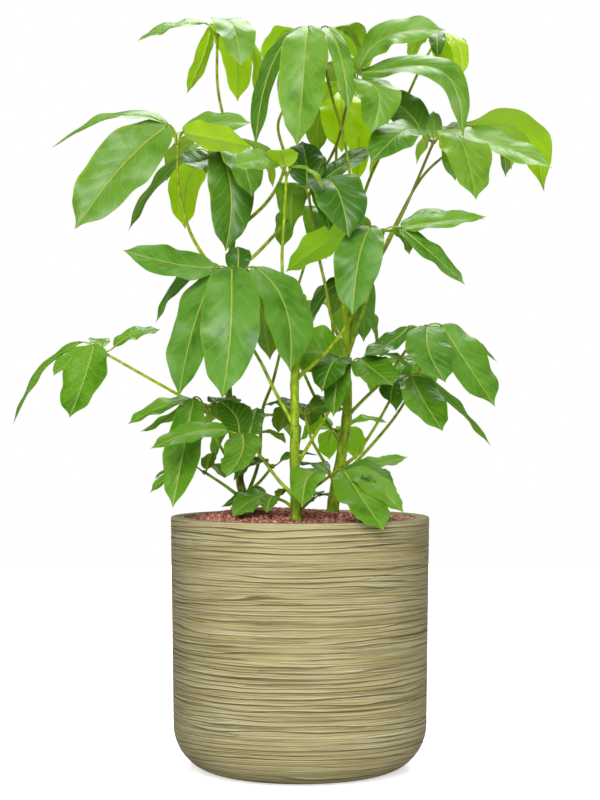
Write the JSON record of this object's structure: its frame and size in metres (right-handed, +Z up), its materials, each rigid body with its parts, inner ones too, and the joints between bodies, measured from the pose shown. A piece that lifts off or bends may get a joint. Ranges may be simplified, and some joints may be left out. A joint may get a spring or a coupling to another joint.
{
  "type": "potted umbrella plant",
  "caption": "Umbrella plant with slender trunks and drooping compound leaves, standing in gravel-topped soil in a tall planter with a round foot and a finely grooved wall.",
  "frame": {"origin": "middle of the planter's flat base, on the surface it stands on", "axes": "+Z up along the planter's axis, +X to the right and -Y towards the viewer of the pictured front"},
  "size_m": [0.8445, 0.5479, 1.1719],
  "materials": {
    "planter": "matte",
    "soil": "matte",
    "gravel": "matte",
    "trunk": "matte",
    "leaf_upper": "satin",
    "leaf_middle": "satin",
    "leaf_lower": "satin"
  },
  "bodies": {
    "root": {"pot": "planter", "soil": "soil", "gravel": "gravel", "trunk_left": "trunk", "trunk_centre": "trunk", "trunk_right": "trunk", "leaf_top_left": "leaf_upper", "leaf_top_middle": "leaf_upper", "leaf_top_right": "leaf_upper", "leaf_crown_right": "leaf_upper", "leaf_upper_left": "leaf_upper", "leaf_upper_left_inner": "leaf_upper", "leaf_young_front": "leaf_upper", "leaf_upper_middle": "leaf_middle", "leaf_upper_back": "leaf_upper", "leaf_middle_right": "leaf_middle", "leaf_upper_right": "leaf_upper", "leaf_middle_left": "leaf_middle", "leaf_inner_right": "leaf_middle", "leaf_centre_right": "leaf_lower", "leaf_lower_right": "leaf_middle", "leaf_lower_right_inner": "leaf_lower", "leaf_rim_front": "leaf_lower", "leaf_far_left": "leaf_lower", "leaf_lower_left": "leaf_lower", "leaf_low_front": "leaf_lower", "leaf_low_left": "leaf_lower", "leaf_gravel_left": "leaf_lower", "leaf_centre_low": "leaf_lower", "leaf_low_right_back": "leaf_lower", "leaf_low_middle": "leaf_lower", "leaf_seedling": "leaf_lower", "leaf_back_left": "leaf_middle", "leaf_back_upper_left": "leaf_upper", "leaf_back_top": "leaf_upper", "leaf_back_upper_right": "leaf_upper", "leaf_back_middle": "leaf_middle", "leaf_back_lower_right": "leaf_lower", "leaf_back_lower_left": "leaf_lower", "leaf_back_high": "leaf_middle"}
  },
  "joints": []
}
